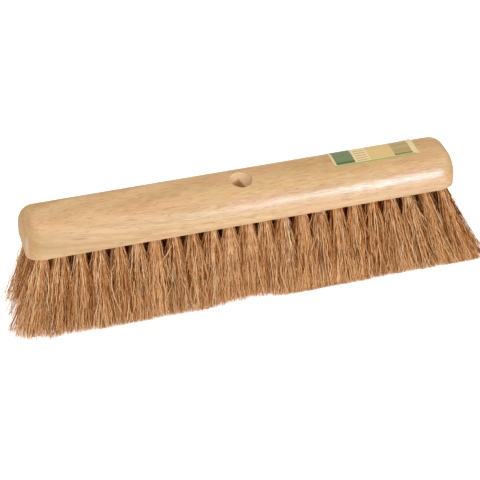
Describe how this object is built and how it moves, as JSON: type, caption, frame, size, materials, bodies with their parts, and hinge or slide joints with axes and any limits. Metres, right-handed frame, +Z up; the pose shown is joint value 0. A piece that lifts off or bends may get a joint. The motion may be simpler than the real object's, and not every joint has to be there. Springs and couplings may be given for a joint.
{
  "type": "broom head",
  "caption": "Wide floor broom head: a crowned wooden block with a slanted handle socket, filled with rows of natural coir tufts.",
  "frame": {"origin": "on the surface that the bristle tips stand on, under the middle of the whole head with its flared bristles", "axes": "+X along the block, towards the end with the label; +Z up, from the bristle tips to the block's crown; +Y to the rear, where the handle leans"},
  "size_m": [0.4546, 0.0692, 0.1116],
  "materials": {
    "wood": "gloss",
    "coir": "matte",
    "label": "satin"
  },
  "bodies": {
    "root": {"broom_block": "wood", "front_tuft_01": "coir", "front_tuft_02": "coir", "front_tuft_03": "coir", "front_tuft_04": "coir", "front_tuft_05": "coir", "front_tuft_06": "coir", "front_tuft_07": "coir", "front_tuft_08": "coir", "front_tuft_09": "coir", "front_tuft_10": "coir", "front_tuft_11": "coir", "front_tuft_12": "coir", "front_tuft_13": "coir", "front_tuft_14": "coir", "front_tuft_15": "coir", "front_tuft_16": "coir", "front_tuft_17": "coir", "front_tuft_18": "coir", "front_tuft_19": "coir", "front_tuft_20": "coir", "front_tuft_21": "coir", "front_tuft_22": "coir", "front_tuft_23": "coir", "rear_tuft_01": "coir", "rear_tuft_02": "coir", "rear_tuft_03": "coir", "rear_tuft_04": "coir", "rear_tuft_05": "coir", "rear_tuft_06": "coir", "rear_tuft_07": "coir", "rear_tuft_08": "coir", "rear_tuft_09": "coir", "rear_tuft_10": "coir", "rear_tuft_11": "coir", "rear_tuft_12": "coir", "rear_tuft_13": "coir", "rear_tuft_14": "coir", "rear_tuft_15": "coir", "rear_tuft_16": "coir", "rear_tuft_17": "coir", "rear_tuft_18": "coir", "rear_tuft_19": "coir", "rear_tuft_20": "coir", "rear_tuft_21": "coir", "rear_tuft_22": "coir", "rear_tuft_23": "coir", "inner_tuft_row_1": "coir", "inner_tuft_row_2": "coir", "inner_tuft_row_3": "coir", "paper_label": "label"}
  },
  "joints": []
}
